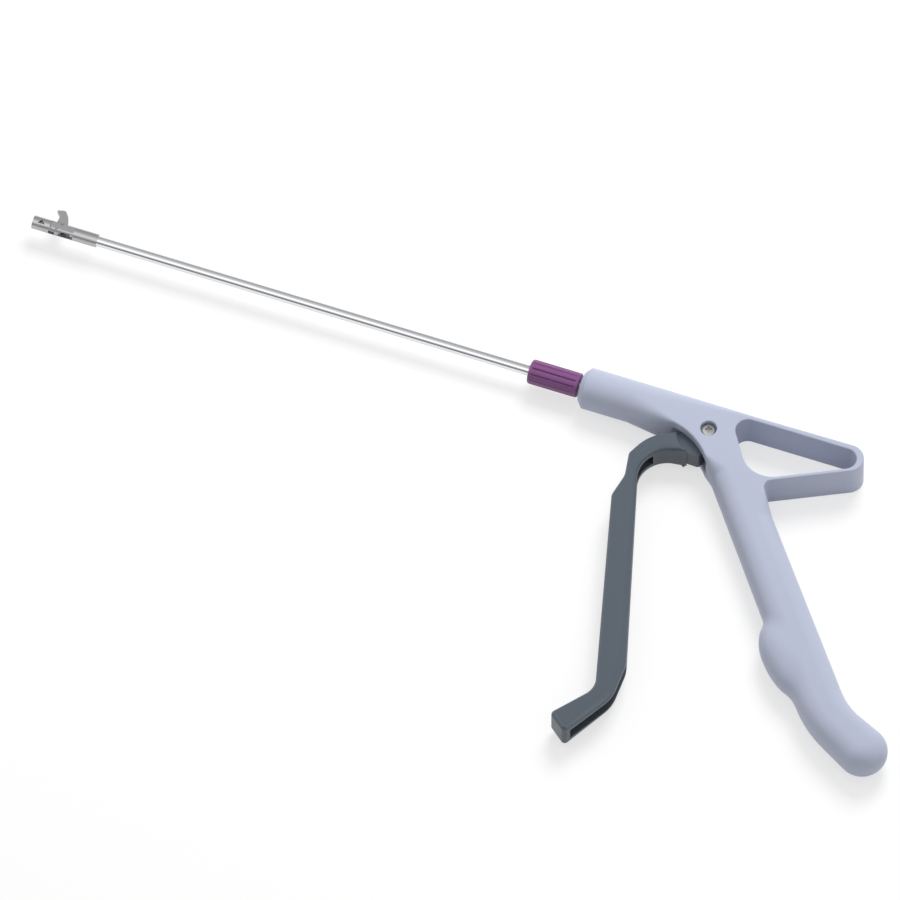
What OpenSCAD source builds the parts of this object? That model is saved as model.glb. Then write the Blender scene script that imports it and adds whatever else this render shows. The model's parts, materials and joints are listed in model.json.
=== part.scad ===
// Biopsy punch with a pistol handle, lying on its side as on a table.
// The origin is on the lever's pivot axis, in the plane that the handle rests on.
// The shaft runs towards -X, the grip towards +X and -Y, and +Z is up from the table.

/* [Handle] */
// Thickness of the handle, and diameter of its barrel
handle_t = 16.8; // [15:0.1:19]
// Height of the shaft's axis over the lever's pivot
shaft_rise = 6.4; // [6.2:0.1:7]
// From the pivot to the front of the barrel
barrel_len = 55.5; // [52:0.5:66]
// Length of the bevel round the barrel's nose
nose_len = 2.1; // [1:0.1:3]
// Height of the bevel round the barrel's nose
nose_bevel = 2.5; // [1:0.1:3]
// Angle of the grip below the shaft
grip_angle = 52.8; // [51:0.1:55]
// Width of the grip
grip_w = 17.8; // [16.5:0.1:19.5]
// Offset of the grip's middle line from the pivot
grip_mid = 3.6; // [3:0.1:4.2]
// Rounding along the grip's edges
grip_round = 7.4; // [5:0.1:7.8]
// Rounding along the thumb loop's edges
loop_round = 0.5; // [0.3:0.1:0.6]

/* [Thumb loop] */
// Distance of the loop's tip from the pivot
loop_tip_x = 55.8; // [50:0.1:70]
// Height of the middle of the loop's tip
loop_tip_y = 4.7; // [4:0.1:5.5]
// Inner radius of the loop's tip
loop_tip_r = 4.6; // [4:0.1:5.2]
// Width of the bar over the loop
loop_bar = 2.4; // [2.2:0.1:3.6]
// Place of the loop's upper front corner
loop_front_x = 15.1; // [14.5:0.1:17]
// Inner radius of the loop's upper front corner
loop_front_r = 5; // [4:0.1:6]
// Place of the loop's lower corner along the shaft
loop_low_x = 27.4; // [26.5:0.1:28]
// Depth of the loop's lower corner below the pivot
loop_low_y = 1.1; // [0.8:0.1:1.6]
// Inner radius of the loop's lower corner
loop_low_r = 12.4; // [11.5:0.1:12.6]

/* [Grip end] */
// From the pivot to the middle of the grip's round end, along the grip
tail_len = 156.7; // [150:0.1:190]
// Sideways shift of the grip's round end
tail_shift = 13.1; // [11:0.1:13.5]
// Radius of the grip's round end
tail_r = 10.2; // [9.5:0.1:11]
// Radius of the bend before the round end
tail_bend_r = 30; // [26:0.5:31]
// Length of the finger rest on the grip's front
rest_len = 35.5; // [28:0.5:38]

/* [Lever] */
// Thickness of the lever's arm
lever_t = 12.6; // [11:0.1:13]
// Thickness of the lever's tongue in the handle
tongue_t = 8.4; // [8:0.1:8.8]
// From the pivot down to the lever's lower bend
lever_len = 122; // [110:0.5:146]
// Wall of the lever's channel at its back
lever_back = 2.2; // [1.6:0.1:3]
// Wall of the lever's channel at its sides
lever_side = 3.5; // [1.6:0.1:3.8]
// Travel of the lever from open to closed, in degrees
lever_travel = 28; // [24:0.5:28]

/* [Shaft] */
// Outer diameter of the shaft tube
tube_d = 4.2; // [4:0.1:4.6]
// Wall of the shaft tube
tube_wall = 0.5; // [0.4:0.05:0.6]
// From the pivot to the front of the jaws
reach = 287.9; // [240:0.1:344]
// Diameter of the drive rod
rod_d = 2; // [1.6:0.1:2.2]

/* [Knob] */
// Diameter of the rotation knob
knob_d = 10; // [9:0.1:12]
// Length of the rotation knob
knob_len = 21; // [17:0.1:25]
// Number of grooves round the knob
knob_grooves = 12; // [8:1:14]
// Width of a groove in the knob
groove_w = 0.9; // [0.6:0.1:1.2]
// Gap between the knob and the barrel
knob_gap = 1; // [0.8:0.1:1.5]

/* [Jaws] */
// Diameter of the jaw head
head_d = 5.4; // [5.2:0.1:6]
// Length of the basket in front of the ears
basket_len = 7.1; // [7:0.1:9]
// Height of the moving jaw when open, over its pivot
jaw_rise = 9.8; // [9.2:0.1:10.2]
// Thickness of the moving jaw
jaw_t = 2; // [1.8:0.05:2.1]
// Travel of the moving jaw, in degrees
jaw_travel = 66; // [60:0.5:68]
// Diameter of the jaw's two pins
jaw_pin_d = 0.9; // [0.8:0.05:1]

/* [Hidden] */

// Overrun of cuts past a face, and the usual small gaps
cut = 1;
run_gap = 0.05;
seat_gap = 0.3;
slot_gap = 0.2;
// Longest step along a curve, largest turn between its points, and turns across an edge's rounding
curve_step = 4;
turn_step = 15;
edge_steps = 6;
$fn = 48;

mid_z = handle_t / 2;
barrel_r = handle_t / 2;

// Lever's pivot: sleeve, screw, pocket
sleeve_r = 1.8;
screw_r = 1.25;
screw_head_r = 2.8;
screw_head_t = 1.5;
screw_pocket_r = 3.3;
screw_sink = 0.8;
cross_w = 0.7;
cross_len = 2.8;
cross_deep = 0.8;
cross_turn = 20;
nut_w = 5;
nut_t = 1.8;
nut_sink = 1;
hub_r = 3.2;
tongue_gap = 0.2;
pocket_half = tongue_t / 2 + tongue_gap;
screw_seat_z = handle_t - screw_sink - screw_head_t;

// Fork of the lever and the spool between its prongs
rest_lean = lever_travel / 2;
prong_reach = shaft_rise / cos(rest_lean);
prong_r = 1.2;
stem_half = 0.6;
neck_r = 1.3;
flange_r = 2.6;
flange_t = 1.2;
prong_gap = 0.1;
prong_inset = 0.1;
prong_inner = neck_r + slot_gap;
prong_outer = tongue_t / 2 - prong_inset;
spool_x = shaft_rise * tan(rest_lean);
rod_travel = 2 * spool_x;
groove_half = prong_r + prong_gap;
spool_half = groove_half + flange_t;
spool_nut_t = 2;
spool_nut_r = 2.2;
rod_end_x = spool_x + spool_half + spool_nut_t + seat_gap;

// Bore of the barrel, from the front: bush, collar, rear bush, washer, spring
tube_r = tube_d / 2;
front_bore_r = 4;
front_bush_len = 8;
bush_flange_r = 4.9;
bush_flange_t = 0.8;
collar_r = 3.8;
collar_len = 3;
collar_x = -barrel_len + front_bush_len + seat_gap;
shoulder_x = collar_x + collar_len + seat_gap;
rear_bore_r = 3.6;
rear_bush_len = 7;
spring_x = -21.2;
washer_t = 0.8;
rear_bush_end = spring_x - washer_t;
tube_end_x = rear_bush_end - seat_gap;
spring_bore_r = 3;
spring_bore_end = rod_end_x + rod_travel / 2;
spring_r = 2;
spring_wire = 0.6;
spring_turns = 8;
spring_sides = 6;
spring_steps = 10;

// Knob and its screw
knob_x = -barrel_len - knob_gap - knob_len;
knob_rim = 1.2;
knob_bevel = 0.5;
groove_deep = 0.55;
set_screw_r = 1.25;
set_screw_len = 2.5;
set_screw_share = 0.8;
set_screw_x = knob_x + knob_len * set_screw_share;

// Jaw head
head_r = head_d / 2;
jaw_gap = 0.35;
basket_front = -reach;
ear_x = basket_front + basket_len + head_r + jaw_gap;
ear_slot = 1.75;
ear_flat = 2.4;
pivot_drop = 1.3;
jaw_pin_r = jaw_pin_d / 2;
pin_rise = rod_travel / 2 / tan(jaw_travel / 2);
pin_line = pin_rise - pivot_drop;
pin_x = ear_x + rod_travel / 2;
housing_len = 17;
housing_end = ear_x + housing_len;
socket_len = 4;
fork_len = 2.8;
fork_r = 1.65;
fork_bore_r = fork_r + run_gap;
tine_inner = jaw_t / 2 + run_gap;
tine_outer = ear_slot - run_gap;
tine_half = 0.8;
tine_len = 4.2;
tine_root = 1;
slot_len = rod_travel / 2 + tine_len + tine_root + jaw_gap;
fork_x = pin_x + tine_len;
fork_end = fork_x + fork_len;
basket_wall = 1.3;
basket_floor = 1.2;
basket_end_wall = 0.7;
jaw_slot_gap = 0.12;
heel_r = 1.1;

// Point of the grip's frame: along the grip from the pivot, and across it
function grip_at(along, across) = [
    along * cos(grip_angle) + across * sin(grip_angle),
    -along * sin(grip_angle) + across * cos(grip_angle)
];

// A round stretch of an outline: centre, radius (negative where it is hollow), edge rounding
// across and down, and for a plain point the direction in which its edge faces
function round_at(point, r, across, down) = [point.x, point.y, r, across, down];
function wrap_turn(a) = a - 360 * floor(a / 360);
function unit(a) = [cos(a), sin(a)];

// Direction that the straight line from one round stretch to the next faces
function line_faces(p, q) =
    atan2(q.y - p.y, q.x - p.x) + acos((p[2] - q[2]) / norm([q.x - p.x, q.y - p.y]));

function stretch(p, from, to) =
    let (
        turn = p[2] > 0 ? -wrap_turn(from - to) : wrap_turn(to - from),
        steps = max(1, ceil(abs(turn) / turn_step), ceil(abs(p[2] * turn) * PI / 180 / curve_step))
    )
    [for (i = [0:steps])
        let (a = from + turn * i / steps, n = unit(a))
        [p.x + p[2] * n.x, p.y + p[2] * n.y, n.x, n.y, p[3], p[4]]];

// A plain corner faces halfway between its two lines, unless its own direction is given
function corner(p, from, to) =
    let (
        half = (wrap_turn(to - from + 180) - 180) / 2,
        a = p[5] == undef ? from + half : p[5],
        reach = p[5] == undef ? 1 / cos(half) : 1
    )
    [[p.x, p.y, reach * cos(a), reach * sin(a), p[3], p[4]]];

// Points added along a straight line on which the rounding changes
function between(p, q) =
    let (
        change = abs(p[4] - q[4]) + abs(p[5] - q[5]),
        steps = change == 0 ? 1 : ceil(norm([q.x - p.x, q.y - p.y]) / curve_step / 2)
    )
    steps < 2 ? [] : [for (i = [1:steps - 1]) p + (q - p) * i / steps];

// Outline run clockwise round its stretches: [x, y, facing x, facing y, across, down]
function outline(stretches) =
    let (
        n = len(stretches),
        faces = [for (i = [0:n - 1]) line_faces(stretches[i], stretches[(i + 1) % n])],
        runs = [for (i = [0:n - 1])
            stretches[i][2] == 0
                ? corner(stretches[i], faces[(i + n - 1) % n], faces[i])
                : stretch(stretches[i], faces[(i + n - 1) % n], faces[i])]
    )
    [for (i = [0:n - 1])
        each concat(runs[i], between(runs[i][len(runs[i]) - 1], runs[(i + 1) % n][0]))];

function flat_points(stretches) = [for (p = outline(stretches)) [p.x, p.y]];

// Triangles that fill a clockwise outline, cut off corner by corner, and the least of bends
least_bend = 0.001;
function bend_at(p, q, r) = cross(q - p, r - q);
function holds(p, q, r, point) =
    bend_at(p, q, point) <= 0 && bend_at(q, r, point) <= 0 && bend_at(r, p, point) <= 0;
function is_ear(points, left, i) =
    let (
        n = len(left),
        before = left[(i + n - 1) % n],
        here = left[i],
        after = left[(i + 1) % n],
        p = points[before],
        q = points[here],
        r = points[after]
    )
    bend_at(p, q, r) < -least_bend && len([for (k = left)
        if (k != before && k != here && k != after && holds(p, q, r, points[k])) k]) == 0;
function first_ear(points, left, i = 0) =
    i >= len(left) - 1 || is_ear(points, left, i) ? i : first_ear(points, left, i + 1);
function triangles(points, left, done = []) =
    let (n = len(left), i = n > 3 ? first_ear(points, left) : 0)
    n == 3
        ? concat(done, [left])
        : triangles(points, [for (k = [0:n - 1]) if (k != i) left[k]],
            concat(done, [[left[(i + n - 1) % n], left[i], left[(i + 1) % n]]]));

// Plate of the given thickness with its edges rounded as its outline says
module rounded_plate(stretches, thickness) {
    edge = outline(stretches);
    n = len(edge);
    levels = concat(
        [for (k = [edge_steps:-1:0]) [90 * k / edge_steps, -1]],
        [for (k = [0:edge_steps]) [90 * k / edge_steps, 1]]
    );
    points = [for (level = levels, p = edge)
        let (in = p[4] * (1 - cos(level[0])), down = p[5] * (1 - sin(level[0])))
        [p.x - p[2] * in, p.y - p[3] * in, level[1] * (thickness / 2 - down)]];
    sides = [for (k = [0:len(levels) - 2], i = [0:n - 1])
        let (a = k * n + i, b = k * n + (i + 1) % n)
        each [[a, b, b + n], [a, b + n, a + n]]];
    cap = triangles([for (p = edge) [p.x - p[2] * p[4], p.y - p[3] * p[4]]], [for (i = [0:n - 1]) i]);
    above = (len(levels) - 1) * n;
    top = [for (t = cap) [t.x + above, t.y + above, t.z + above]];
    bottom = [for (t = cap) [t.z, t.y, t.x]];
    translate([0, 0, mid_z]) polyhedron(points, concat(sides, top, bottom));
}

// Flat plate about the middle plane, between two distances from it on each side
module flat_plate(stretches, half) {
    translate([0, 0, mid_z - half]) linear_extrude(2 * half) polygon(flat_points(stretches));
}

// Things turned about the shaft's axis, which runs along X
module along_shaft(x = 0) {
    translate([x, shaft_rise, mid_z]) rotate([0, 90, 0]) children();
}

module shaft_ring(x, length, outer, inner) {
    along_shaft(x) difference() {
        cylinder(h = length, r = outer);
        translate([0, 0, -cut]) cylinder(h = length + 2 * cut, r = inner);
    }
}

module shaft_rod(x, length, r) {
    along_shaft(x) cylinder(h = length, r = r);
}

module cross_pin(point, half, r) {
    translate([point.x, point.y, mid_z - half]) cylinder(h = 2 * half, r = r);
}

// Outline of the handle
grip_left = grip_mid - grip_w / 2;
grip_right = grip_mid + grip_w / 2;
grip_flare = 1.1;
barrel_flat = 0.1;
barrel_round = barrel_r - barrel_flat;
barrel_turned = 9.5;
barrel_joint_x = -barrel_len + barrel_turned;
barrel_blend_x = -24;
barrel_top = shaft_rise + barrel_r;
barrel_bottom = shaft_rise - barrel_r;
body_round = 1.4;
body_flat_x = 16;
loop_top = loop_tip_y + loop_tip_r + loop_bar;
loop_end_shift = [1.1, 0.7];
loop_end = [loop_tip_x, loop_tip_y] + loop_end_shift;
crotch_along = 33.6;
crotch_r = 3;
palm_along = 44;
ridge_along = 20;
tail_bend_back = 27.5;
tail_bend_along = tail_len - tail_bend_back;
tail_front_back = 28.7;
tail_front_along = tail_len - tail_front_back;
tail_front_r = 52;
mouth_along = 11.7;
mouth_r = 28;
mouth_round = 0.8;
lip_x = -13.7;
lip_blend_x = -34;
tail_round = 8.2;

HANDLE = [
    [barrel_joint_x, barrel_top, 0, barrel_round, barrel_round, 90],
    round_at([barrel_blend_x, barrel_top], 0, barrel_round, barrel_round),
    round_at([body_flat_x, loop_top], 0, body_round, body_round),
    round_at(loop_end, loop_top - loop_end.y, loop_round, loop_round),
    round_at(grip_at(crotch_along, grip_right + crotch_r), -crotch_r, loop_round, loop_round),
    round_at(grip_at(palm_along, grip_right), 0, grip_round, grip_round),
    round_at(grip_at(tail_bend_along, grip_right + grip_flare + tail_bend_r), -tail_bend_r,
        grip_round, grip_round),
    round_at(grip_at(tail_len, tail_shift), tail_r, tail_round, tail_round),
    round_at(grip_at(tail_front_along, grip_left + tail_front_r), tail_front_r,
        grip_round, grip_round),
    round_at(grip_at(ridge_along, grip_left), 0, grip_round, grip_round),
    round_at(grip_at(mouth_along, grip_left - mouth_r), -mouth_r, mouth_round, mouth_round),
    round_at([lip_x, barrel_bottom], 0, mouth_round, mouth_round),
    round_at([lip_blend_x, barrel_bottom], 0, barrel_round, barrel_round),
    [barrel_joint_x, barrel_bottom, 0, barrel_round, barrel_round, -90]
];

LOOP = [
    round_at([loop_front_x, loop_tip_y + loop_tip_r - loop_front_r], loop_front_r, 0, 0),
    round_at([loop_tip_x, loop_tip_y], loop_tip_r, 0, 0),
    round_at([loop_low_x, -loop_low_y], loop_low_r, 0, 0)
];

// Cutter for the thumb loop: its wall flares out to round both edges
module loop_cutter() {
    edge = outline(LOOP);
    n = len(edge);
    flare = [for (k = [0:edge_steps - 1]) 90 * k / edge_steps];
    levels = concat(
        [[loop_round * (1 - cos(flare[edge_steps - 1])), -handle_t / 2 - cut]],
        [for (k = [edge_steps - 1:-1:0])
            [loop_round * (1 - cos(flare[k])), -handle_t / 2 + loop_round * (1 - sin(flare[k]))]],
        [for (k = [0:edge_steps - 1])
            [loop_round * (1 - cos(flare[k])), handle_t / 2 - loop_round * (1 - sin(flare[k]))]],
        [[loop_round * (1 - cos(flare[edge_steps - 1])), handle_t / 2 + cut]]
    );
    points = [for (level = levels, p = edge)
        [p.x + p[2] * level[0], p.y + p[3] * level[0], level[1]]];
    sides = [for (k = [0:len(levels) - 2], i = [0:n - 1])
        let (a = k * n + i, b = k * n + (i + 1) % n)
        each [[a, b, b + n], [a, b + n, a + n]]];
    top = [for (i = [0:n - 1]) (len(levels) - 1) * n + i];
    bottom = [for (i = [n - 1:-1:0]) i];
    translate([0, 0, mid_z]) polyhedron(points, concat(sides, [top, bottom]));
}

// Finger rest: an egg shape turned about its long axis, which lies along the grip
rest_r = barrel_r - barrel_flat;
rest_back = 53.2;
rest_along = tail_len - rest_back;
rest_inset = 2.15;
rest_across = grip_left + rest_inset;
rest_top_share = 0.41;
rest_steps = 12;
module finger_rest() {
    profile = [for (i = [0:rest_steps])
        let (a = 180 * i / rest_steps, share = a < 90 ? rest_top_share : 1 - rest_top_share)
        [max(0, rest_r * sin(a)), -rest_len * share * cos(a)]];
    place = grip_at(rest_along, rest_across);
    translate([place.x, place.y, mid_z]) rotate([0, 0, -grip_angle]) rotate([0, 90, 0])
        rotate_extrude($fn = 40) polygon(profile);
}

module barrel_nose() {
    front = barrel_joint_x + barrel_len;
    profile = [
        [0, 0], [barrel_r - nose_bevel, 0], [barrel_r, nose_len], [barrel_r, front], [0, front]
    ];
    along_shaft(-barrel_len) rotate_extrude($fn = 64) polygon(profile);
}

// Slot for the lever's tongue, and the room in which its fork swings
pocket_gap = 0.5;
pocket_hub_r = hub_r + pocket_gap;
pocket_side = [4, -9.4, 2.1];
pocket_low = [0.5, -14.5, 1.5];
pocket_out = [-12, -14, 1.5];
pocket_high = [-16.5, -5.5, 2.6];
fork_gap = 0.7;
fork_room_r = prong_r + fork_gap;
module lever_pocket() {
    flat_plate([
        round_at([0, 0], pocket_hub_r, 0, 0),
        round_at(pocket_side, pocket_side[2], 0, 0),
        round_at(pocket_low, pocket_low[2], 0, 0),
        round_at(pocket_out, pocket_out[2], 0, 0),
        round_at(pocket_high, pocket_high[2], 0, 0)
    ], pocket_half);
    flat_plate([
        round_at([0, 0], pocket_hub_r, 0, 0),
        round_at([-spool_x, shaft_rise], fork_room_r, 0, 0),
        round_at([spool_x, shaft_rise], fork_room_r, 0, 0)
    ], pocket_half);
}

module barrel_bore() {
    shaft_rod(-barrel_len - cut, bush_flange_t + cut, bush_flange_r);
    shaft_rod(-barrel_len, shoulder_x + barrel_len, front_bore_r);
    shaft_rod(shoulder_x - cut, spring_x - shoulder_x + cut, rear_bore_r);
    shaft_rod(spring_x - cut, spring_bore_end - spring_x + cut, spring_bore_r);
}

module handle_body() {
    color([0.72, 0.75, 0.84]) difference() {
        union() {
            rounded_plate(HANDLE, handle_t);
            barrel_nose();
            finger_rest();
        }
        loop_cutter();
        lever_pocket();
        barrel_bore();
        translate([0, 0, screw_seat_z]) cylinder(h = handle_t, r = screw_pocket_r);
        translate([0, 0, nut_sink + nut_t]) cylinder(h = handle_t, r = sleeve_r);
        translate([-nut_w / 2, -nut_w / 2, nut_sink]) cube([nut_w, nut_w, nut_t]);
    }
}

module pivot_screw() {
    color([0.8, 0.8, 0.8]) difference() {
        union() {
            translate([0, 0, screw_seat_z]) cylinder(h = screw_head_t, r = screw_head_r);
            translate([0, 0, nut_sink]) cylinder(h = screw_seat_z - nut_sink, r = screw_r);
        }
        for (a = [0, 90])
            rotate([0, 0, a + cross_turn])
                translate([-cross_len / 2, -cross_w / 2, screw_seat_z + screw_head_t - cross_deep])
                    cube([cross_len, cross_w, cross_deep + cut]);
    }
}

module pivot_nut() {
    color([0.7, 0.7, 0.7]) difference() {
        translate([-nut_w / 2, -nut_w / 2, nut_sink]) cube([nut_w, nut_w, nut_t]);
        cylinder(h = nut_sink + nut_t + cut, r = screw_r);
    }
}

module pivot_sleeve() {
    color([0.75, 0.75, 0.75]) translate([0, 0, nut_sink + nut_t]) difference() {
        cylinder(h = screw_seat_z - nut_sink - nut_t, r = sleeve_r);
        translate([0, 0, -cut]) cylinder(h = handle_t, r = screw_r);
    }
}

module front_bush() {
    color([0.9, 0.9, 0.88]) {
        difference() {
            union() {
                shaft_rod(-barrel_len, bush_flange_t, bush_flange_r);
                shaft_rod(-barrel_len, front_bush_len, front_bore_r);
            }
            shaft_rod(-barrel_len - cut, front_bush_len + 2 * cut, tube_r + run_gap);
        }
    }
}

module rear_bush() {
    color([0.9, 0.9, 0.88])
        shaft_ring(rear_bush_end - rear_bush_len, rear_bush_len, rear_bore_r, tube_r + run_gap);
}

module spring_washer() {
    color([0.7, 0.7, 0.7])
        shaft_ring(rear_bush_end, washer_t, rear_bore_r, rod_d / 2 + slot_gap);
}

// Lever: bent arm of channel section, then a tongue and a fork round the pivot
elbow_x = -6.7;
elbow_y = -23.6;
elbow_r = 19.8;
elbow_in_x = -8.5;
elbow_in_y = -24.8;
elbow_in_r = 12.2;
arm_start_r = 12.6;
arm_low_turn = -114;
arm_high_turn = -160;
bend_x = -9.4;
bend_r = 14;
bend_rise = 8;
bend_end_x = -12.5;
bend_end_r = 17;
heel_x = -13;
heel_out_r = 9;
heel_drop = 3.5;
bend_end_drop = 2;
foot_in_drop = 26;
foot_out_drop = 21.7;
foot_in = [-8.6, -lever_len - foot_in_drop];
foot_out = [-13.9, -lever_len - foot_out_drop];
foot_r = 1.8;
shoulder = [-22.9, -40.2];
shoulder_r = 3.8;
neck = [-33.5, -30];
neck_side_r = 8.5;
brow = [-24, -20];
brow_r = 2.6;
lever_edge = 1;
lever_slope = 4.4;
lever_slope_down = 2.6;
elbow_slope = 2.4;
elbow_slope_down = 2;
foot_edge = 1.4;
channel_start = 8;
channel_lean = 0.7;
channel_rise = 4.3;
channel_out = 2;
foot_lean = -124.8;
foot_in_share = 0.3;
foot_out_share = 0.7;

LEVER_INNER = [
    round_at([elbow_in_x, elbow_in_y], -elbow_in_r, elbow_slope, elbow_slope_down),
    round_at([bend_x, -lever_len + bend_rise], bend_r, lever_slope, lever_slope_down),
    round_at([bend_end_x, -lever_len - bend_end_drop], bend_end_r, lever_slope, lever_slope_down)
];
LEVER_OUTER = [
    round_at([heel_x, -lever_len - heel_drop], -heel_out_r, lever_edge, lever_edge),
    round_at(shoulder, shoulder_r, lever_edge, lever_edge),
    round_at(neck, -neck_side_r, lever_edge, lever_edge),
    round_at(brow, brow_r, lever_edge, lever_edge),
    round_at([elbow_x, elbow_y], elbow_r, lever_edge, lever_edge)
];
arm_low = arm_start_r * unit(arm_low_turn);
arm_high = arm_start_r * unit(arm_high_turn);
LEVER = concat(
    [round_at(arm_low, 0, lever_edge, lever_edge)],
    LEVER_INNER,
    [round_at(foot_in, foot_r, foot_edge, foot_edge), round_at(foot_out, foot_r, foot_edge, foot_edge)],
    LEVER_OUTER,
    [round_at(arm_high, 0, lever_edge, lever_edge)]
);

tongue_low = [-1.2, -9.9, 1.6];
tongue_in_low = [-13, -9.4, 1.6];
tongue_in_high = [-13.4, -7.2, 1.4];
module lever_tongue() {
    flat_plate([
        round_at([0, 0], hub_r, 0, 0),
        round_at(tongue_low, tongue_low[2], 0, 0),
        round_at(tongue_in_low, tongue_in_low[2], 0, 0),
        round_at(tongue_in_high, tongue_in_high[2], 0, 0)
    ], tongue_t / 2);
    prong(mid_z - prong_outer);
    prong(mid_z + prong_inner);
}

// A prong's round head and its stem, which starts inside the hub
prong_steps = 20;
module prong(z) {
    open = acos(stem_half / prong_r);
    head = [for (i = [0:prong_steps])
        [0, prong_reach] + prong_r * unit(-open + (180 + 2 * open) * i / prong_steps)];
    root = (sleeve_r + hub_r) / 2;
    translate([0, 0, z]) rotate([0, 0, -rest_lean]) linear_extrude(prong_outer - prong_inner)
        polygon(concat([[-stem_half, root], [stem_half, root]], head));
}

// Hollow of the channel: inside the arm's back wall and end wall, open to the grip
module lever_channel() {
    translate([0, 0, mid_z - lever_t / 2 + lever_side])
        linear_extrude(lever_t - 2 * lever_side) polygon(channel_points());
}

function channel_points() =
    let (
        shrink = lever_back,
        outer = [
            round_at([heel_x, -lever_len - heel_drop], -heel_out_r - shrink, 0, 0),
            round_at(shoulder, shoulder_r - shrink, 0, 0),
            round_at(neck, -neck_side_r - shrink, 0, 0),
            round_at(brow, brow_r - shrink, 0, 0),
            round_at([elbow_x, elbow_y], elbow_r - shrink, 0, 0)
        ],
        inner = [
            round_at([elbow_in_x, elbow_in_y], -elbow_in_r + cut, 0, 0),
            round_at([bend_x, -lever_len + bend_rise], bend_r + cut, 0, 0),
            round_at([bend_end_x, -lever_len - bend_end_drop], bend_end_r + cut, 0, 0)
        ],
        start = [elbow_in_x - channel_start, elbow_in_y + elbow_in_r - cut],
        start_back = start + [-channel_lean, channel_rise],
        foot = unit(foot_lean) * (foot_r + foot_edge),
        end_in = foot_in - foot * foot_in_share + [channel_out, -cut],
        end_out = foot_out - foot * foot_out_share
    )
    flat_points(concat(
        [round_at(start, 0, 0, 0)], inner,
        [round_at(end_in, 0, 0, 0), round_at(end_out, 0, 0, 0)], outer,
        [round_at(start_back, 0, 0, 0)]
    ));

module squeeze_lever() {
    color([0.4, 0.44, 0.48]) difference() {
        union() {
            rounded_plate(LEVER, lever_t);
            lever_tongue();
        }
        lever_channel();
        cross_pin([0, 0], tongue_t / 2 + cut, sleeve_r + run_gap);
    }
}

// Spring: a wire swept along a helix about the rod
module return_spring() {
    front = spring_x + spring_wire / 2;
    back = spool_x - spool_half - spring_wire / 2;
    count = spring_turns * spring_steps;
    points = [for (i = [0:count], k = [0:spring_sides - 1])
        let (
            a = 360 * i / spring_steps,
            w = 360 * k / spring_sides,
            r = spring_r + spring_wire / 2 * cos(w)
        )
        [front + (back - front) * i / count + spring_wire / 2 * sin(w), r * cos(a), r * sin(a)]];
    sides = [for (i = [0:count - 1], k = [0:spring_sides - 1])
        let (p = i * spring_sides + k, q = i * spring_sides + (k + 1) % spring_sides)
        each [[p, p + spring_sides, q + spring_sides], [p, q + spring_sides, q]]];
    start = [for (k = [0:spring_sides - 1]) k];
    end = [for (k = [spring_sides - 1:-1:0]) count * spring_sides + k];
    color([0.6, 0.6, 0.62]) translate([0, shaft_rise, mid_z])
        polyhedron(points, concat(sides, [start, end]));
}

module drive_rod() {
    color([0.75, 0.75, 0.77]) shaft_rod(fork_end, rod_end_x - fork_end, rod_d / 2);
}

module drive_spool() {
    color([0.7, 0.7, 0.72]) difference() {
        union() {
            shaft_rod(spool_x - spool_half, flange_t, flange_r);
            shaft_rod(spool_x - spool_half, 2 * spool_half, neck_r);
            shaft_rod(spool_x + groove_half, flange_t, flange_r);
        }
        shaft_rod(spool_x - spool_half - cut, 2 * spool_half + 2 * cut, rod_d / 2);
    }
}

module spool_nut() {
    color([0.7, 0.7, 0.7])
        along_shaft(spool_x + spool_half) difference() {
            cylinder(h = spool_nut_t, r = spool_nut_r, $fn = 6);
            translate([0, 0, -cut]) cylinder(h = spool_nut_t + 2 * cut, r = rod_d / 2);
        }
}

module shaft_tube() {
    color([0.8, 0.8, 0.8])
        shaft_ring(housing_end - socket_len, tube_end_x - housing_end + socket_len, tube_r,
            tube_r - tube_wall);
}

module tube_collar() {
    color([0.7, 0.7, 0.7]) shaft_ring(collar_x, collar_len, collar_r, tube_r);
}

// Knob: a turned body with grooves cut along it between two plain rims
module rotation_knob() {
    r = knob_d / 2;
    profile = [
        [tube_r, 0], [r - knob_bevel, 0], [r, knob_bevel], [r, knob_len - knob_bevel],
        [r - knob_bevel, knob_len], [tube_r, knob_len]
    ];
    color([0.5, 0.3, 0.5]) difference() {
        along_shaft(knob_x) rotate_extrude($fn = 64) polygon(profile);
        along_shaft(knob_x + knob_rim)
            for (i = [0:knob_grooves - 1])
                rotate([0, 0, 360 * (i + 1 / 2) / knob_grooves])
                    translate([r - groove_deep, -groove_w / 2, 0])
                        cube([groove_deep + cut, groove_w, knob_len - 2 * knob_rim]);
        translate([set_screw_x, shaft_rise, mid_z - r - cut])
            cylinder(h = r + cut, r = set_screw_r);
    }
}

module knob_set_screw() {
    color([0.6, 0.6, 0.6])
        translate([set_screw_x, shaft_rise, mid_z - tube_r - set_screw_len]) difference() {
            cylinder(h = set_screw_len, r = set_screw_r);
            translate([0, 0, -cut]) cylinder(h = cut + set_screw_len / 2, r = set_screw_r / 2, $fn = 6);
        }
}

// Jaw head: a slotted housing with two ears
module head_span(from, to, r) {
    shaft_rod(from, to - from, r);
}

module slab(from, to, low, high, half) {
    translate([from, shaft_rise + low, mid_z - half]) cube([to - from, high - low, 2 * half]);
}

jaw_pivot = [ear_x, shaft_rise - pivot_drop];
drive_point = [pin_x, shaft_rise + pin_line];
assembly_r = jaw_pin_r + slot_gap;

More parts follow.
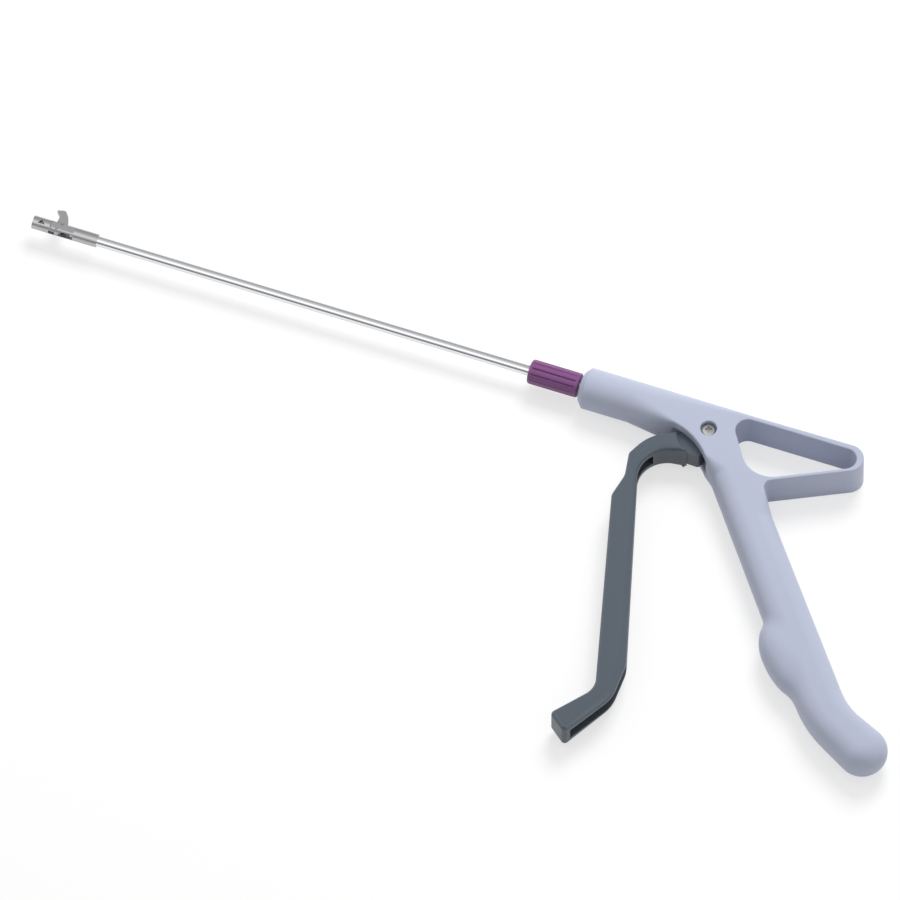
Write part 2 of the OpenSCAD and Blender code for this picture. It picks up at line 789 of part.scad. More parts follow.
module jaw_housing() {
    color([0.75, 0.75, 0.75]) difference() {
        intersection() {
            head_span(ear_x - head_r, housing_end, head_r);
            union() {
                translate([ear_x, shaft_rise, 0]) cylinder(h = handle_t, r = head_r);
                slab(ear_x, housing_end, -head_r - cut, head_r + cut, ear_flat);
                head_span(ear_x + slot_len, housing_end, head_r);
            }
            union() {
                slab(ear_x - head_r - cut, ear_x + slot_len + cut, -head_r, head_r, ear_flat);
                head_span(ear_x + slot_len, housing_end, head_r);
            }
        }
        slab(ear_x - head_r - cut, ear_x + slot_len, -head_r - cut, head_r + cut, ear_slot);
        head_span(ear_x, housing_end - socket_len, fork_bore_r);
        head_span(housing_end - socket_len, housing_end + cut, tube_r);
        cross_pin(jaw_pivot, handle_t, jaw_pin_r);
        cross_pin(drive_point, handle_t, assembly_r);
    }
}

pin_sink = 0.4;
module jaw_pivot_pin() {
    color([0.5, 0.5, 0.5]) cross_pin(jaw_pivot, ear_flat - pin_sink, jaw_pin_r);
}

module drive_pin() {
    color([0.5, 0.5, 0.5]) cross_pin(drive_point, tine_outer, jaw_pin_r);
}

module rod_fork() {
    color([0.7, 0.7, 0.72]) difference() {
        union() {
            head_span(fork_x, fork_end, fork_r);
            intersection() {
                head_span(pin_x - tine_half, fork_end, head_r - jaw_gap);
                union() {
                    slab(pin_x, fork_x + tine_root, pin_line - tine_half, pin_line + tine_half,
                        tine_outer);
                    cross_pin(drive_point, tine_outer, tine_half);
                }
            }
        }
        slab(pin_x - tine_half - cut, fork_x, -head_r, head_r, tine_inner);
        cross_pin(drive_point, head_r, jaw_pin_r);
    }
}

// Fixed jaw: a basket open to the moving jaw, with two legs that hold the pivot pin
leg_back = 1.6;
leg_top = -0.15;
window_shares = [[0.3, -0.44], [0.72, -0.44], [0.5, 0.2]];
module fixed_jaw() {
    basket_end = basket_front + basket_len;
    color([0.75, 0.75, 0.75]) difference() {
        union() {
            difference() {
                head_span(basket_front, ear_x, head_r);
                translate([ear_x, shaft_rise, 0]) cylinder(h = handle_t, r = head_r + jaw_gap);
            }
            intersection() {
                head_span(basket_end - cut, ear_x + leg_back, head_r);
                slab(basket_end - cut, ear_x + leg_back, -head_r, leg_top, ear_slot);
            }
        }
        slab(basket_front + basket_end_wall, ear_x + leg_back + cut, -head_r + basket_floor,
            head_r + cut, tine_inner);
        slab(ear_x - head_r - jaw_gap, ear_x + leg_back + cut, -head_r - cut, head_r, tine_inner);
        translate([basket_front, shaft_rise, 0]) linear_extrude(handle_t)
            polygon([for (p = window_shares) [basket_len * p.x, head_r * p.y]]);
        cross_pin(jaw_pivot, head_r, jaw_pin_r);
    }
}

// Moving jaw: its heel turns on the pivot pin, its slot follows the drive pin
module moving_jaw() {
    lean = jaw_travel / 2;
    slot_low = pin_rise - jaw_slot_gap;
    slot_high = pin_rise / cos(lean) + jaw_slot_gap;
    slot_r = jaw_pin_r + jaw_slot_gap;
    shares = [
        [-0.1, 0.42], [-0.08, 0.68], [-0.27, 0.89], [-0.25, 0.93], [0.02, 1], [0.1, 0.96],
        [0.26, 0.74], [0.36, 0.45], [0.33, 0.2], [0.11, -0.02]
    ];
    points = [for (p = shares) jaw_rise * p];
    color([0.8, 0.8, 0.8]) difference() {
        translate([jaw_pivot.x, jaw_pivot.y, mid_z - jaw_t / 2]) union() {
            cylinder(h = jaw_t, r = heel_r);
            linear_extrude(jaw_t) polygon(concat([[-heel_r, 0]], points));
        }
        cross_pin(jaw_pivot, head_r, jaw_pin_r + run_gap);
        translate([jaw_pivot.x, jaw_pivot.y, mid_z]) rotate([0, 0, -lean]) {
            translate([0, slot_low, -head_r]) cylinder(h = head_d, r = slot_r);
            translate([0, slot_high, -head_r]) cylinder(h = head_d, r = slot_r);
            translate([-slot_r, slot_low, -head_r]) cube([2 * slot_r, slot_high - slot_low, head_d]);
        }
    }
}

handle_body();
pivot_screw();
pivot_nut();
pivot_sleeve();
front_bush();
rear_bush();
squeeze_lever();
return_spring();
spring_washer();
drive_rod();
drive_spool();
spool_nut();
rod_fork();
drive_pin();
shaft_tube();
rotation_knob();
knob_set_screw();
tube_collar();
jaw_housing();
fixed_jaw();
jaw_pivot_pin();
moving_jaw();
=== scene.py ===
"""Looks of a cervical biopsy punch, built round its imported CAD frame."""
import json
import math

import bmesh
import bpy
from mathutils import Matrix, Vector


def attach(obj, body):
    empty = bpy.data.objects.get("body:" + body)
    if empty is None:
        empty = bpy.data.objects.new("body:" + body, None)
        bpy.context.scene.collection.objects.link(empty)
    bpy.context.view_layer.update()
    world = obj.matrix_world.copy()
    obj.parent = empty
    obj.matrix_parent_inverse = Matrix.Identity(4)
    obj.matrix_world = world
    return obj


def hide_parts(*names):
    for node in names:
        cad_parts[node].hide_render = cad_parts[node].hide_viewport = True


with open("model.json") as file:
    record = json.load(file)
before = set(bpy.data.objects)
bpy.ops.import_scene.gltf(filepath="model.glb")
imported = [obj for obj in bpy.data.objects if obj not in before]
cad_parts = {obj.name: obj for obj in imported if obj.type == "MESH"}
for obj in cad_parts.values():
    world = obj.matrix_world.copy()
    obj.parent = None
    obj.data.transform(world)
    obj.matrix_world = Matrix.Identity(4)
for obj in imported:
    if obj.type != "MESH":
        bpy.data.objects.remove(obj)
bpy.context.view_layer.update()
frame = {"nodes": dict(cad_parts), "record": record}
nodes = frame["nodes"]
MM = 0.001


def srgb(r, g, b):
    """Linear colour of an sRGB colour in 0-255."""
    out = []
    for c in (r, g, b):
        c /= 255
        out.append(c / 12.92 if c <= 0.04045 else ((c + 0.055) / 1.055) ** 2.4)
    return (*out, 1)


class Shader:
    """A material's node tree, with short calls for its nodes and links."""

    def __init__(self, name):
        self.mat = bpy.data.materials.new(name)
        self.mat.use_nodes = True
        self.tree = self.mat.node_tree
        self.bsdf = self.tree.nodes["Principled BSDF"]
        self.out = self.tree.nodes["Material Output"]

    def node(self, kind, inputs=(), **settings):
        n = self.tree.nodes.new(kind)
        for key, value in settings.items():
            setattr(n, key, value)
        for key, value in dict(inputs).items():
            if isinstance(value, bpy.types.NodeSocket):
                self.tree.links.new(value, n.inputs[key])
            else:
                n.inputs[key].default_value = value
        return n

    def set(self, **inputs):
        for key, value in inputs.items():
            key = key.replace("_", " ")
            if isinstance(value, bpy.types.NodeSocket):
                self.tree.links.new(value, self.bsdf.inputs[key])
            else:
                self.bsdf.inputs[key].default_value = value

    def coord(self, scale=(1, 1, 1)):
        tex = self.node("ShaderNodeTexCoord")
        return self.node("ShaderNodeMapping", {"Vector": tex.outputs["Object"], "Scale": scale}).outputs[0]

    def noise(self, scale, detail=2.0, rough=0.5, stretch=(1, 1, 1)):
        return self.node("ShaderNodeTexNoise", {
            "Vector": self.coord(stretch), "Scale": scale, "Detail": detail, "Roughness": rough,
        }).outputs["Fac"]

    def span(self, value, low, high):
        return self.node("ShaderNodeMapRange", {"Value": value, "To Min": low, "To Max": high}).outputs[0]

    def bump(self, height, strength, distance):
        bump = self.node("ShaderNodeBump", {"Height": height, "Strength": strength, "Distance": distance})
        self.set(Normal=bump.outputs[0])


def plastic(name, colour, rough, shine=0.3, grain=0.03, speckle=0.04):
    s = Shader(name)
    tint = s.node("ShaderNodeMix", {
        "Factor": s.span(s.noise(90, 3), 0.0, 1.0),
        "A": colour, "B": tuple(c * (1 - speckle) for c in colour[:3]) + (1,),
    }, data_type="RGBA")
    s.tree.links.new(tint.outputs["Result"], s.bsdf.inputs["Base Color"])
    s.set(Roughness=s.span(s.noise(300, 2), rough - 0.04, rough + 0.04), Specular_IOR_Level=shine)
    s.bump(s.noise(2500, 2), grain, 0.00008)
    return s.mat


def steel(name, colour, rough, stretch=(1, 1, 1), lines=0.05, scale=400):
    s = Shader(name)
    grain = s.noise(scale, 3, 0.6, stretch)
    s.set(Base_Color=colour, Metallic=1.0, Roughness=s.span(grain, rough - 0.04, rough + 0.04))
    s.bump(grain, lines, 0.00005)
    return s.mat


LOOKS = {
    "handle_plastic": plastic("handle_plastic", srgb(177, 183, 202), 0.45),
    "lever_plastic": plastic("lever_plastic", srgb(79, 88, 98), 0.4, 0.5),
    "knob_plastic": plastic("knob_plastic", srgb(124, 74, 126), 0.36, 0.45),
    "bush_plastic": plastic("bush_plastic", srgb(222, 224, 230), 0.4),
    "bright_steel": steel("bright_steel", srgb(228, 229, 232), 0.12, (1, 12, 12), 0.02),
    "satin_steel": steel("satin_steel", srgb(188, 188, 190), 0.36, (1, 6, 6), 0.05),
    "plain_steel": steel("plain_steel", srgb(180, 180, 182), 0.32),
    "screw": steel("screw", srgb(188, 187, 186), 0.32, (1, 1, 1), 0.03),
}
for part in frame["record"]["subparts"]:
    obj = nodes[part["node"]]
    obj.data.materials.clear()
    obj.data.materials.append(LOOKS[part["material_slot"]])


# Outlines, in millimetres, the same as the frame's
GRIP_ANGLE = 52.8


def grip_at(along, across):
    c, s = math.cos(math.radians(GRIP_ANGLE)), math.sin(math.radians(GRIP_ANGLE))
    return (along * c + across * s, -along * s + across * c)


def unit(a):
    return (math.cos(math.radians(a)), math.sin(math.radians(a)))


def wrap(a):
    return a - 360 * math.floor(a / 360)


def round_at(point, r, across, down, facing=None):
    """A round stretch of an outline: hollow where r is negative, a plain corner where it is 0."""
    return (point[0], point[1], r, across, down, facing)


def line_faces(p, q):
    dx, dy = q[0] - p[0], q[1] - p[1]
    return math.degrees(math.atan2(dy, dx) + math.acos((p[2] - q[2]) / math.hypot(dx, dy)))


def run(p, start, end, turn_step, curve_step):
    """Points along one stretch: (x, y, facing x, facing y, across, down)."""
    x, y, r, across, down, facing = p
    if r == 0:
        half = (wrap(end - start + 180) - 180) / 2
        n = unit(start + half if facing is None else facing)
        k = 1 / math.cos(math.radians(half)) if facing is None else 1
        return [(x, y, k * n[0], k * n[1], across, down)]
    turn = -wrap(start - end) if r > 0 else wrap(end - start)
    steps = max(1, math.ceil(abs(turn) / turn_step), math.ceil(abs(r * math.radians(turn)) / curve_step))
    out = []
    for i in range(steps + 1):
        n = unit(start + turn * i / steps)
        out.append((x + r * n[0], y + r * n[1], n[0], n[1], across, down))
    return out


def outline(stretches, turn_step=4, curve_step=1.5, step=3):
    n = len(stretches)
    faces = [line_faces(stretches[i], stretches[(i + 1) % n]) for i in range(n)]
    runs = [run(stretches[i], faces[i - 1], faces[i], turn_step, curve_step) for i in range(n)]
    out = []
    for i in range(n):
        out += runs[i]
        p, q = runs[i][-1], runs[(i + 1) % n][0]
        steps = math.ceil(math.hypot(q[0] - p[0], q[1] - p[1]) / step)
        out += [tuple(a + (b - a) * k / steps for a, b in zip(p, q)) for k in range(1, steps)]
    return out


# Sizes in millimetres, the same as the frame's
MID_Z = 8.4
BARREL_LEN, BARREL_R, NOSE_LEN, NOSE_BEVEL, TURNED = 55.5, 8.4, 2.1, 2.5, 9.5
SHAFT_RISE, HANDLE_T = 6.4, 16.8
GRIP_LEFT, GRIP_RIGHT = 3.6 - 8.9, 3.6 + 8.9
GRIP_ROUND, TAIL_ROUND, LOOP_ROUND, BODY_ROUND = 7.4, 8.2, 0.5, 1.4
BARREL_ROUND = 8.3
LOOP_TIP, LOOP_TIP_R, LOOP_TOP = (55.8, 4.7), 4.6, 11.7
LOOP_END = (LOOP_TIP[0] + 1.1, LOOP_TIP[1] + 0.7)
TAIL_LEN = 156.7
JOINT_X = -BARREL_LEN + TURNED

HANDLE = [
    round_at((JOINT_X, SHAFT_RISE + BARREL_R), 0, BARREL_ROUND, BARREL_ROUND, 90),
    round_at((-24, SHAFT_RISE + BARREL_R), 0, BARREL_ROUND, BARREL_ROUND),
    round_at((16, LOOP_TOP), 0, BODY_ROUND, BODY_ROUND),
    round_at(LOOP_END, LOOP_TOP - LOOP_END[1], LOOP_ROUND, LOOP_ROUND),
    round_at(grip_at(33.6, GRIP_RIGHT + 3), -3, LOOP_ROUND, LOOP_ROUND),
    round_at(grip_at(44, GRIP_RIGHT), 0, GRIP_ROUND, GRIP_ROUND),
    round_at(grip_at(TAIL_LEN - 27.5, GRIP_RIGHT + 1.1 + 30), -30, GRIP_ROUND, GRIP_ROUND),
    round_at(grip_at(TAIL_LEN, 13.1), 10.2, TAIL_ROUND, TAIL_ROUND),
    round_at(grip_at(TAIL_LEN - 28.7, GRIP_LEFT + 52), 52, GRIP_ROUND, GRIP_ROUND),
    round_at(grip_at(20, GRIP_LEFT), 0, GRIP_ROUND, GRIP_ROUND),
    round_at(grip_at(11.7, GRIP_LEFT - 28), -28, 0.8, 0.8),
    round_at((-13.7, SHAFT_RISE - BARREL_R), 0, 0.8, 0.8),
    round_at((-34, SHAFT_RISE - BARREL_R), 0, BARREL_ROUND, BARREL_ROUND),
    round_at((JOINT_X, SHAFT_RISE - BARREL_R), 0, BARREL_ROUND, BARREL_ROUND, -90),
]
LOOP = [
    round_at((15.1, LOOP_TIP[1] + LOOP_TIP_R - 5), 5, 0, 0),
    round_at(LOOP_TIP, LOOP_TIP_R, 0, 0),
    round_at((27.4, -1.1), 12.4, 0, 0),
]

# The lever: its arm's outline from the step under the handle, and the hollow of its channel
LEVER_LEN, LEVER_T, LEVER_SIDE, LEVER_BACK = 122, 12.6, 3.5, 2.2
ELBOW, ELBOW_R = (-6.7, -23.6), 19.8
ELBOW_IN, ELBOW_IN_R = (-8.5, -24.8), 12.2
SHOULDER, NECK, BROW, HEEL = (-22.9, -40.2), (-33.5, -30), (-24, -20), (-13, -LEVER_LEN - 3.5)
BEND, BEND_END = (-9.4, -LEVER_LEN + 8), (-12.5, -LEVER_LEN - 2)
FOOT_IN, FOOT_OUT = (-8.6, -LEVER_LEN - 26), (-13.9, -LEVER_LEN - 21.7)
STEP_R = 12.6
SCREW_SEAT, NUT_TOP = 14.5, 2.8


def polar(r, a):
    return (r * unit(a)[0], r * unit(a)[1])


LEVER = [
    round_at(polar(STEP_R + 0.02, -114), 0, 1, 1),
    round_at(ELBOW_IN, -ELBOW_IN_R, 2.4, 2),
    round_at(BEND, 14, 4.6, 3),
    round_at(BEND_END, 17, 4.6, 3),
    round_at(FOOT_IN, 1.8, 1.7, 2.2),
    round_at(FOOT_OUT, 1.8, 1.7, 2.2),
    round_at(HEEL, -9, 1.5, 1.5),
    round_at(SHOULDER, 3.8, 1.5, 1.5),
    round_at(NECK, -8.5, 1.5, 1.5),
    round_at(BROW, 2.6, 1.5, 1.5),
    round_at(ELBOW, ELBOW_R, 1.5, 1.5),
    round_at(polar(STEP_R + 0.02, -160), 0, 1, 1),
    round_at((0, 0), -STEP_R, 1, 1),
]


def channel():
    start = (ELBOW_IN[0] - 8, ELBOW_IN[1] + ELBOW_IN_R - 1)
    foot = polar(3.2, -124.8)
    return [
        round_at(start, 0, 0, 0),
        round_at(ELBOW_IN, -ELBOW_IN_R + 1, 0, 0),
        round_at(BEND, 15, 0, 0),
        round_at(BEND_END, 18, 0, 0),
        round_at((FOOT_IN[0] - foot[0] * 0.3 + 2, FOOT_IN[1] - foot[1] * 0.3 - 1), 0, 0, 0),
        round_at((FOOT_OUT[0] - foot[0] * 0.7, FOOT_OUT[1] - foot[1] * 0.7), 0, 0, 0),
        round_at(HEEL, -9 - LEVER_BACK, 0, 0),
        round_at(SHOULDER, 3.8 - LEVER_BACK, 0, 0),
        round_at(NECK, -8.5 - LEVER_BACK, 0, 0),
        round_at(BROW, 2.6 - LEVER_BACK, 0, 0),
        round_at(ELBOW, ELBOW_R - LEVER_BACK, 0, 0),
        round_at((start[0] - 0.7, start[1] + 4.3), 0, 0, 0),
    ]


def mesh_object(name, verts, faces):
    mesh = bpy.data.meshes.new(name)
    mesh.from_pydata([tuple(c * MM for c in v) for v in verts], [], faces)
    bm = bmesh.new()
    bm.from_mesh(mesh)
    bmesh.ops.recalc_face_normals(bm, faces=bm.faces)
    bm.to_mesh(mesh)
    bm.free()
    obj = bpy.data.objects.new(name, mesh)
    bpy.context.scene.collection.objects.link(obj)
    return obj


def skin(name, rings, closed=False):
    """A closed mesh through rings of points, with a flat face on each end ring."""
    n = len(rings[0])
    verts = [p for ring in rings for p in ring]
    faces = []
    for k in range(len(rings) - (0 if closed else 1)):
        for i in range(n):
            a, b = k * n + i, k * n + (i + 1) % n
            up = n if k < len(rings) - 1 else -k * n
            faces.append((a, b, b + up, a + up))
    if not closed:
        faces += [tuple(range(n)), tuple(range((len(rings) - 1) * n, len(rings) * n))]
    return mesh_object(name, verts, faces)


def rounded_plate(name, stretches, thickness, steps=14, swell=None, step=3):
    edge = outline(stretches, step=step)
    angles = [(90 * k / steps, -1) for k in range(steps, -1, -1)] + [(90 * k / steps, 1) for k in range(steps + 1)]
    rings = []
    for angle, side in angles:
        inward, down_by = 1 - math.cos(math.radians(angle)), 1 - math.sin(math.radians(angle))
        ring = [
            (x - nx * across * inward, y - ny * across * inward, MID_Z + side * (thickness / 2 - down * down_by))
            for x, y, nx, ny, across, down in edge
        ]
        if swell:
            c, s = unit(angle)
            ring = [swell(p, (e[2] * c, e[3] * c, side * s)) for p, e in zip(ring, edge)]
        rings.append(ring)
    return skin(name, rings)


def prism(name, points, low, high):
    return skin(name, [[(x, y, z) for x, y in points] for z in (low, high)])


def flat_points(stretches):
    return [p[:2] for p in outline(stretches)]


def turned(name, profile, place, along, steps=96, closed=False):
    """profile's (radius, distance) turned about an axis through place: along is "x", "z" or a grip direction."""
    rings = []
    for r, d in profile:
        ring = []
        for i in range(steps):
            u, v = unit(360 * i / steps)
            u, v = u * max(r, 0.001), v * max(r, 0.001)
            if along == "x":
                ring.append((place[0] + d, place[1] + u, place[2] + v))
            elif along == "z":
                ring.append((place[0] + u, place[1] + v, place[2] + d))
            else:
                c, s = unit(-GRIP_ANGLE)
                ring.append((place[0] + d * c - u * s, place[1] + d * s + u * c, place[2] + v))
        rings.append(ring)
    return skin(name, rings, closed)


def combine(obj, other, operation):
    mod = obj.modifiers.new("cut", "BOOLEAN")
    mod.object, mod.operation, mod.solver = other, operation, "EXACT"
    graph = bpy.context.evaluated_depsgraph_get()
    mesh = bpy.data.meshes.new_from_object(obj.evaluated_get(graph))
    obj.modifiers.clear()
    obj.data = mesh
    bpy.data.objects.remove(other)


def smooth(obj, angle=32):
    obj.data.shade_smooth()
    obj.data.set_sharp_from_angle(angle=math.radians(angle))


def finish_piece(obj, body, slot, *replaced, look=None):
    obj.data.materials.clear()
    obj.data.materials.append(LOOKS[look or slot])
    if replaced:
        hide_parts(*replaced)
    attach(obj, body)


def flared_loop(steps=10):
    edge = outline(LOOP)
    half = HANDLE_T / 2
    levels = [(LOOP_ROUND, -half - 1)]
    for k in range(steps, -1, -1):
        a = math.radians(90 * k / steps)
        levels.append((LOOP_ROUND * (1 - math.cos(a)), -half + LOOP_ROUND * (1 - math.sin(a))))
    levels += [(out, -z) for out, z in reversed(levels)]
    rings = [[(x + nx * out, y + ny * out, MID_Z + z) for x, y, nx, ny, _, _ in edge] for out, z in levels]
    return skin("loop_cutter", rings)


REST = grip_at(TAIL_LEN - 53.2, GRIP_LEFT + 2.15)
REST_R, REST_LEN, REST_TOP_SHARE = 8.3, 35.5, 0.41
REST_UP, REST_DOWN = REST_LEN * REST_TOP_SHARE, REST_LEN * (1 - REST_TOP_SHARE)
REST_NEAR, REST_HIGHEST = 34, 12


def swell_rest(p, n, soft=2.4):
    """Moves a point of the grip out to the finger rest, an egg shape that runs softly into the grip."""
    c, s = unit(-GRIP_ANGLE)
    dx, dy, dz = p[0] - REST[0], p[1] - REST[1], p[2] - MID_Z
    if math.hypot(dx, dy) > REST_NEAR:
        return p

    def gap(t):
        x, y, z = dx + n[0] * t, dy + n[1] * t, dz + n[2] * t
        along, across = x * c + y * s, y * c - x * s
        half = REST_DOWN if along > 0 else REST_UP
        egg = (math.sqrt((along / half) ** 2 + (across / REST_R) ** 2 + (z / REST_R) ** 2) - 1) * REST_R
        near = max(soft - abs(t - egg), 0) / soft
        return min(t, egg) - near * near * soft / 4

    low, high = 0.0, REST_HIGHEST
    if gap(low) >= 0:
        return p
    for _ in range(24):
        mid = (low + high) / 2
        low, high = (mid, high) if gap(mid) < 0 else (low, mid)
    z = dz + n[2] * low
    return (p[0] + n[0] * low, p[1] + n[1] * low, MID_Z + max(-BARREL_R, min(BARREL_R, z)))


def make_handle():
    handle = rounded_plate("handle_visual", HANDLE, HANDLE_T, steps=20, swell=swell_rest, step=1)
    nose = turned("nose", [(0, 0), (BARREL_R - NOSE_BEVEL, 0), (BARREL_R, NOSE_LEN), (BARREL_R, TURNED), (0, TURNED)],
                  (-BARREL_LEN, SHAFT_RISE, MID_Z), "x")
    combine(handle, nose, "UNION")
    combine(handle, flared_loop(), "DIFFERENCE")
    half, hub, fork_x, fork_r = 4.4, 3.7, 1.5957, 1.9
    for name, stretches in (
        ("pocket", [
            round_at((0, 0), hub, 0, 0), round_at((4, -9.4), 2.1, 0, 0), round_at((0.5, -14.5), 1.5, 0, 0),
            round_at((-12, -14), 1.5, 0, 0), round_at((-16.5, -5.5), 2.6, 0, 0)]),
        ("fork_room", [
            round_at((0, 0), hub, 0, 0), round_at((-fork_x, SHAFT_RISE), fork_r, 0, 0),
            round_at((fork_x, SHAFT_RISE), fork_r, 0, 0)]),
    ):
        combine(handle, prism(name, flat_points(stretches), MID_Z - half, MID_Z + half), "DIFFERENCE")
    bore = [
        (0, -1), (4.9, -1), (4.9, 0.8), (4, 0.8), (4, 11.6), (3.6, 11.6), (3.6, 34.3), (3, 34.3), (3, 64.3), (0, 64.3),
    ]
    combine(handle, turned("bore", bore, (-BARREL_LEN, SHAFT_RISE, MID_Z), "x"), "DIFFERENCE")
    pocket = [(0, 0), (3.3, 0), (3.3, 1.9), (3.36, 2.1), (3.6, 2.3), (3.6, 4), (0, 4)]
    combine(handle, turned("screw_pocket", pocket, (0, 0, SCREW_SEAT), "z"), "DIFFERENCE")
    combine(handle, turned("sleeve_hole", [(0, 0), (1.8, 0), (1.8, 12.5), (0, 12.5)], (0, 0, NUT_TOP), "z", 48), "DIFFERENCE")
    smooth(handle)
    finish_piece(handle, "handle", "handle_plastic", "handle_body")


def make_lever():
    lever = rounded_plate("lever_visual", LEVER, LEVER_T)
    tongue = [round_at((0, 0), 3.2, 0, 0), round_at((-1.2, -9.9), 1.6, 0, 0),
              round_at((-13, -9.4), 1.6, 0, 0), round_at((-13.4, -7.2), 1.4, 0, 0)]
    combine(lever, prism("tongue", flat_points(tongue), MID_Z - 4.2, MID_Z + 4.2), "UNION")
    lean, prong_r = 14, 1.2
    reach = SHAFT_RISE / unit(lean)[0]
    stem = [(-0.6, 2.5), (0.6, 2.5)]
    for i in range(31):
        u, v = unit(-60 + 10 * i)
        stem.append((prong_r * u, reach + prong_r * v))
    c, s = unit(-lean)
    stem = [(x * c - y * s, x * s + y * c) for x, y in stem]
    for low, high in ((4.3, 6.9), (9.9, 12.5)):
        combine(lever, prism("prong", stem, low, high), "UNION")
    half = LEVER_T / 2 - LEVER_SIDE
    combine(lever, prism("hollow", flat_points(channel()), MID_Z - half, MID_Z + half), "DIFFERENCE")
    combine(lever, turned("hole", [(0, 0), (1.85, 0), (1.85, 12), (0, 12)], (0, 0, 2.4), "z", 48), "DIFFERENCE")
    smooth(lever, 30)
    finish_piece(lever, "lever", "lever_plastic", "squeeze_lever")


def make_screw():
    head = [(2.55, 0), (2.8, 0.2), (2.8, 0.65)]
    head += [(2.1 + 0.7 * math.cos(a), 0.65 + 0.55 * math.sin(a)) for a in (0.4, 0.8, 1.2)]
    head += [(1.6, 1.3), (0.9, 1.46), (0, 1.5)]
    head = [(r, SCREW_SEAT + z) for r, z in head]
    screw = turned("screw_visual", [(0, 1), (1.25, 1), (1.25, SCREW_SEAT), *head], (0, 0, 0), "z", 64)
    for turn in (20, 110):
        c, s = unit(turn)
        flat = [(-1.4, -0.35), (1.4, -0.35), (1.4, 0.35), (-1.4, 0.35)]
        rings = []
        for z, share in ((15.1, 0.7), (16.05, 1), (17, 1)):
            rings.append([((x * c - y * s) * share, (x * s + y * c) * share, z) for x, y in flat])
        combine(screw, skin("recess", rings), "DIFFERENCE")
    smooth(screw, 34)
    finish_piece(screw, "handle", "bright_steel", "pivot_screw", look="screw")


def make_knob():
    """The knob: grooves with soft edges between two plain rims."""
    start, length, r, bore = -BARREL_LEN - 1 - 21, 21, 5, 2.1
    steps = 288

    def ring(x, radius, depth):
        out = []
        for i in range(steps):
            a = 360 * i / steps
            off = abs((a % 30) - 15)
            cut = depth * (0.5 + 0.5 * math.cos(math.pi * min(1, off / 6)))
            u, v = unit(a)
            out.append((x, SHAFT_RISE + (radius - cut) * u, MID_Z + (radius - cut) * v))
        return out

    def at(d, radius, depth=0.0):
        return ring(start + d, radius, depth)

    rings = [at(0, bore), at(0, 3.9), at(0.06, 4.3), at(0.3, 4.72), at(0.6, 4.93), at(1, r)]
    rings += [at(d, r, deep) for d, deep in (
        (1.2, 0.05), (1.45, 0.35), (1.75, 0.55), (19.25, 0.55), (19.55, 0.35), (19.8, 0.05))]
    rings += [at(20, r), at(20.5, 4.97), at(20.85, 4.75), at(21, 4.4), at(21, bore)]
    knob = skin("knob_visual", rings, closed=True)
    smooth(knob, 40)
    finish_piece(knob, "rotor", "knob_plastic", "rotation_knob")


def make_tube():
    outer, inner = 2.1, 1.6
    start, end = -264.75, -22.3
    profile = [(inner, 0), (outer, 0), (outer, end - start), (inner, end - start)]
    tube = turned("tube_visual", profile, (start, SHAFT_RISE, MID_Z), "x", 96, closed=True)
    smooth(tube)
    finish_piece(tube, "rotor", "bright_steel", "shaft_tube")


def soften(name, width, segments=2):
    mod = nodes[name].modifiers.new("edges", "BEVEL")
    mod.width, mod.segments, mod.limit_method = width * MM, segments, "ANGLE"
    mod.angle_limit = math.radians(35)


make_handle()
make_lever()
make_screw()
make_knob()
make_tube()
soften("jaw_housing", 0.25)
soften("fixed_jaw", 0.25)
soften("moving_jaw", 0.2)
soften("front_bush", 0.15)


# Floor, a pale sheet seen from above
def plane(name, size, z):
    mesh = bpy.data.meshes.new(name)
    h = size / 2
    mesh.from_pydata([(-h, -h, z), (h, -h, z), (h, h, z), (-h, h, z)], [], [(0, 1, 2, 3)])
    obj = bpy.data.objects.new(name, mesh)
    bpy.context.scene.collection.objects.link(obj)
    return obj


floor = plane("floor", 8, 0)
s = Shader("floor")
path = s.node("ShaderNodeLightPath")
seen = s.node("ShaderNodeMath", {0: path.outputs["Is Camera Ray"], 1: path.outputs["Is Glossy Ray"]}, operation="ADD")
seen = s.node("ShaderNodeMath", {
    0: seen.outputs[0], 1: path.outputs["Is Transmission Ray"],
}, operation="ADD", use_clamp=True)
share = s.node("ShaderNodeMath", {0: seen.outputs[0], 1: 0.62}, operation="MULTIPLY")
paper = s.node("ShaderNodeMix", {
    "Factor": seen.outputs[0], "A": (0.86, 0.86, 0.86, 1), "B": (0.98, 0.98, 0.98, 1),
}, data_type="RGBA")
s.tree.links.new(paper.outputs["Result"], s.bsdf.inputs["Base Color"])
s.set(Roughness=0.9, Specular_IOR_Level=0.0)
glow = s.node("ShaderNodeEmission", {"Color": (1, 1, 1, 1), "Strength": 1.0})
mixed = s.node("ShaderNodeMixShader", {0: share.outputs[0], 1: s.bsdf.outputs[0], 2: glow.outputs[0]})
s.tree.links.new(mixed.outputs[0], s.out.inputs["Surface"])
floor.data.materials.append(s.mat)

# Light: a soft dome, with a bright band and a dark one for what mirrors it
world = bpy.data.worlds.new("studio")
scene = bpy.context.scene
scene.world = world
world.use_nodes = True
tree = world.node_tree
sky = tree.nodes["Background"]


def world_node(kind, **settings):
    n = tree.nodes.new(kind)
    for key, value in settings.items():
        setattr(n, key, value)
    return n


def ramp(fac, stops):
    n = world_node("ShaderNodeValToRGB")
    tree.links.new(fac, n.inputs["Fac"])
    points = n.color_ramp.elements
    while len(points) < len(stops):
        points.new(0.5)
    for point, (place, level) in zip(points, stops):
        point.position = place
        point.color = (level, level, level, 1)
    return n.outputs["Color"]


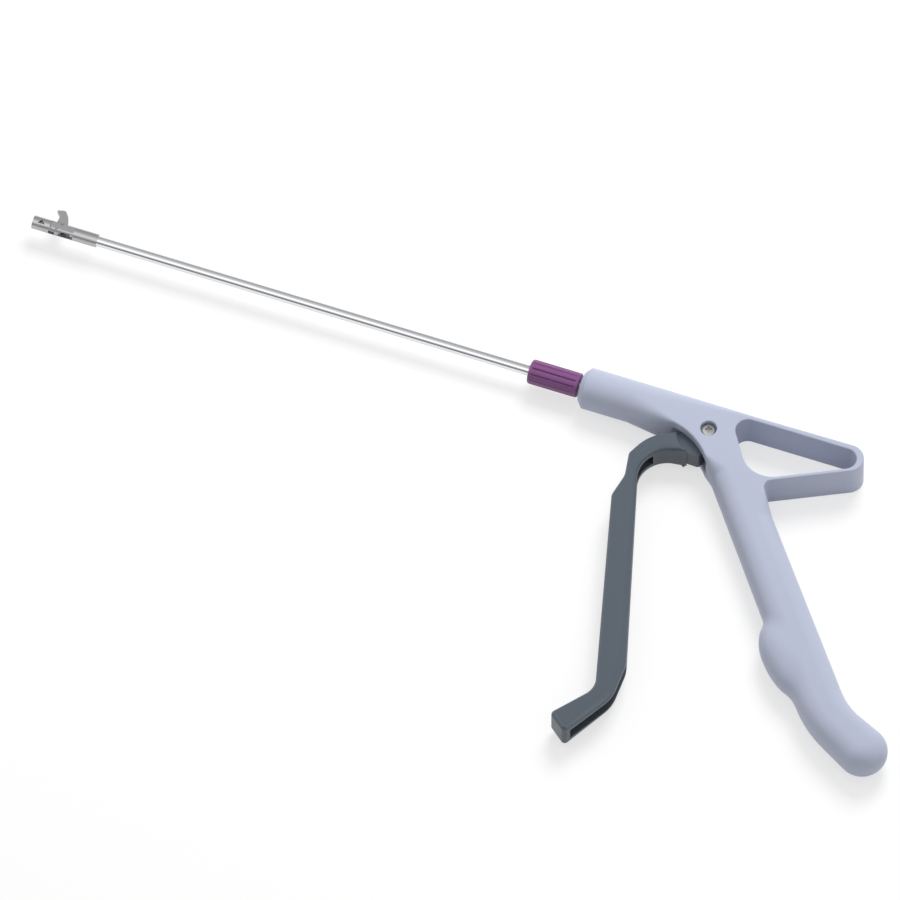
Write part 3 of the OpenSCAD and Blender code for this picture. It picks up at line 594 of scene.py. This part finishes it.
split = world_node("ShaderNodeSeparateXYZ")
tree.links.new(world_node("ShaderNodeTexCoord").outputs["Generated"], split.inputs[0])
angle = world_node("ShaderNodeMath", operation="ARCTAN2")
tree.links.new(split.outputs["Z"], angle.inputs[0])
tree.links.new(split.outputs["Y"], angle.inputs[1])
around = world_node("ShaderNodeMath", operation="DIVIDE")
tree.links.new(angle.outputs[0], around.inputs[0])
around.inputs[1].default_value = math.pi
soft = ramp(around.outputs[0], [(0, 1), (0.3, 1.1), (0.5, 1), (1, 0.75)])
mirrored = ramp(around.outputs[0], [
    (0, 0.8), (0.17, 0.9), (0.34, 1.15), (0.5, 1.8), (0.58, 2.7), (0.66, 2.7), (0.78, 1.2), (0.86, 0.35), (1, 0.7),
])
choose = world_node("ShaderNodeMix", data_type="RGBA")
tree.links.new(world_node("ShaderNodeLightPath").outputs["Is Glossy Ray"], choose.inputs["Factor"])
tree.links.new(soft, choose.inputs["A"])
sides = world_node("ShaderNodeMath", operation="MULTIPLY")
tree.links.new(split.outputs["X"], sides.inputs[0])
tree.links.new(split.outputs["X"], sides.inputs[1])
lift = world_node("ShaderNodeMath", operation="MULTIPLY_ADD")
tree.links.new(sides.outputs[0], lift.inputs[0])
lift.inputs[1].default_value = 1.3
lift.inputs[2].default_value = 0.8
bright = world_node("ShaderNodeVectorMath", operation="SCALE")
tree.links.new(mirrored, bright.inputs[0])
tree.links.new(lift.outputs[0], bright.inputs["Scale"])
tree.links.new(bright.outputs[0], choose.inputs["B"])
tree.links.new(choose.outputs["Result"], sky.inputs["Color"])
sky.inputs["Strength"].default_value = 0.62


def lamp(name, place, aim, size, power):
    data = bpy.data.lights.new(name, "AREA")
    data.shape = "RECTANGLE"
    data.size, data.size_y = size
    data.energy = power
    obj = bpy.data.objects.new(name, data)
    scene.collection.objects.link(obj)
    obj.location = place
    obj.rotation_euler = (Vector(aim) - Vector(place)).to_track_quat("-Z", "Y").to_euler()
    obj.visible_glossy = False


TARGET = (-95.3 * MM, -39.1 * MM, 8.4 * MM)
lamp("key", (-0.02, 0.74, 0.98), TARGET, (0.6, 0.6), 11.5)

# Camera
scene.view_settings.view_transform = "Standard"
elevation, azimuth = math.radians(58.4), math.radians(19.46)
lens, sensor, frame_width = 1400, 36, 0.3582
distance = frame_width * lens / sensor
back = (math.sin(azimuth) * math.cos(elevation), -math.cos(azimuth) * math.cos(elevation), math.sin(elevation))
cam = bpy.data.objects.new("camera", bpy.data.cameras.new("camera"))
scene.collection.objects.link(cam)
cam.data.lens, cam.data.sensor_width = lens, sensor
cam.data.clip_end = 60
cam.location = [t + distance * b for t, b in zip(TARGET, back)]
right = Vector((math.cos(azimuth), math.sin(azimuth), 0))
up = Vector(back).cross(right)
cam.rotation_euler = Matrix((right, up, Vector(back))).transposed().to_euler()
scene.camera = cam
